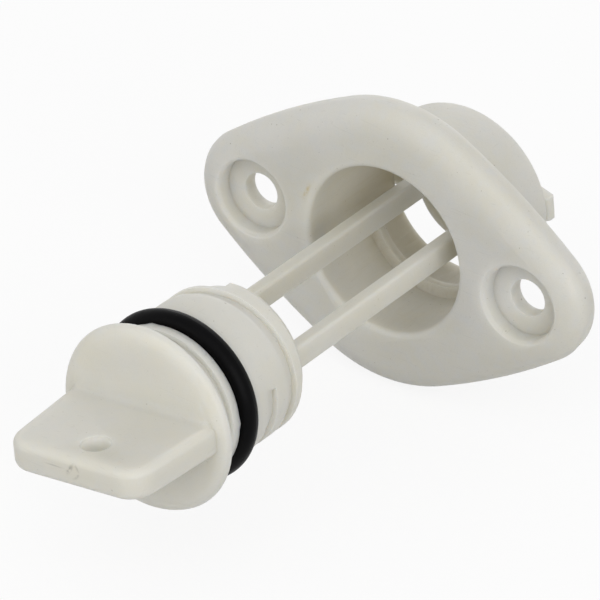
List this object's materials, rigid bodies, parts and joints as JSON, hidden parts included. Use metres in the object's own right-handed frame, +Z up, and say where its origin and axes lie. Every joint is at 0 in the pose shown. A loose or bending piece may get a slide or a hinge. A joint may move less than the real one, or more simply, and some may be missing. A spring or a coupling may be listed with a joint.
{
  "type": "captive drain plug",
  "caption": "Two-screw flanged drain socket with a winged screw plug, its O-ring and two hooked legs that keep the plug captive.",
  "frame": {"origin": "on the bore axis, in the plane of the flange's mounting face", "axes": "+Y along the bore axis, inboard (into the hull); -Y outboard, where the plug is pulled to; +X joins the two screw holes; +Z up, as fastened to an upright transom"},
  "size_m": [0.0586, 0.0877, 0.0396],
  "materials": {
    "nylon": "natural white nylon, satin as moulded",
    "seal_rubber": "black nitrile rubber, slightly shiny"
  },
  "bodies": {
    "socket": {"socket": "nylon"},
    "seal": {"o_ring": "seal_rubber"},
    "plug": {"plug": "nylon"}
  },
  "joints": [
    {"name": "travel", "type": "slide", "parent": "socket", "child": "seal", "axis": [0, 1, 0], "range_m": [0, 0.04885]},
    {"name": "turn", "type": "hinge", "parent": "seal", "child": "plug", "pos_m": [0, -0.0475, 0], "axis": [0, -1, 0], "range_deg": [0, 360]}
  ]
}
